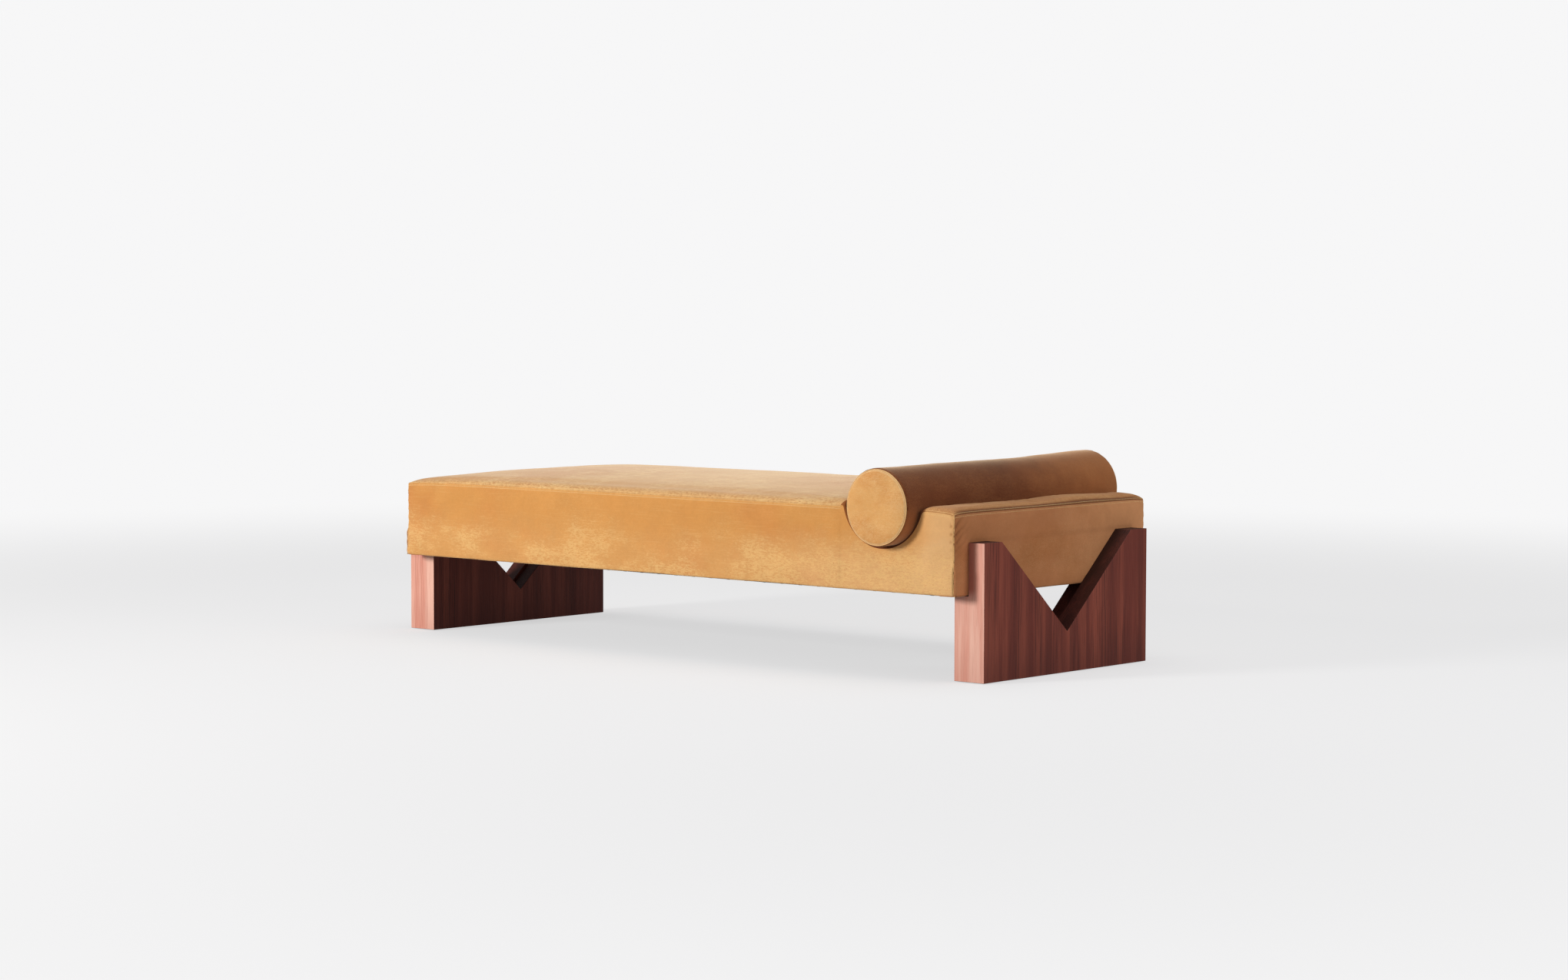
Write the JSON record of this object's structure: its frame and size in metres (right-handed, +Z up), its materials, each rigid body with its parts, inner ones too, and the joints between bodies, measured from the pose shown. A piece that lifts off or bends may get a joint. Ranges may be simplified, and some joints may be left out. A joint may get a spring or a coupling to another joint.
{
  "type": "daybed",
  "caption": "Upholstered daybed on two laminated slab legs with V notches, its crowned velvet seat grooved near the head end to hold a loose round bolster.",
  "frame": {"origin": "middle of the footprint, on the floor under the legs' glides", "axes": "+X along the daybed towards the head end, where the bolster is; +Y across the seat, towards the back; +Z up"},
  "size_m": [2, 0.872, 0.5184],
  "materials": {
    "stained_wood": "satin stained hardwood",
    "softwood": "planed, unfinished",
    "felt": "dense felt",
    "steel": "zinc plated",
    "foam": "cut foam",
    "fleece": "polyester wadding",
    "velvet": "crushed cotton velvet",
    "dust_cloth": "woven cambric",
    "zip": "woven zip tape",
    "zip_metal": "antique brass"
  },
  "bodies": {
    "base": {"head_leg_outer_board": "stained_wood", "head_leg_inner_board": "stained_wood", "head_leg_dowels": "softwood", "head_leg_glides": "felt", "head_leg_inserts": "steel", "head_leg_bolts": "steel", "head_leg_washers": "steel", "foot_leg_outer_board": "stained_wood", "foot_leg_inner_board": "stained_wood", "foot_leg_dowels": "softwood", "foot_leg_glides": "felt", "foot_leg_inserts": "steel", "foot_leg_bolts": "steel", "foot_leg_washers": "steel", "side_rail_front": "softwood", "side_rail_back": "softwood", "end_rail_head": "softwood", "end_rail_foot": "softwood", "cross_rails": "softwood", "corner_blocks": "softwood", "rail_dowels": "softwood", "corner_screws": "steel", "cross_rail_screws": "steel", "deck_slats": "softwood", "slat_screws": "steel", "frame_padding": "fleece", "base_foam": "foam", "seat_foam": "foam", "head_foam": "foam", "seat_wadding": "fleece", "cover_top_panel": "velvet", "cover_front_band": "velvet", "cover_back_band": "velvet", "cover_head_panel": "velvet", "cover_foot_panel": "velvet", "dust_cover": "dust_cloth", "staples": "steel"},
    "bolster": {"bolster_core": "foam", "bolster_wadding": "fleece", "bolster_cover_tube": "velvet", "bolster_cap_front": "velvet", "bolster_cap_back": "velvet", "bolster_welt_front": "velvet", "bolster_welt_back": "velvet", "zip_tape": "zip", "zip_chain": "zip_metal"},
    "zip_slider": {"zip_slider": "zip_metal"}
  },
  "joints": [
    {"name": "bolster_lift", "type": "slide", "parent": "base", "child": "bolster", "axis": [0, 0, 1], "range_m": [0, 0.25]},
    {"name": "zip_slide", "type": "slide", "parent": "bolster", "child": "zip_slider", "axis": [0, 1, 0], "range_m": [0, 0.67]}
  ]
}
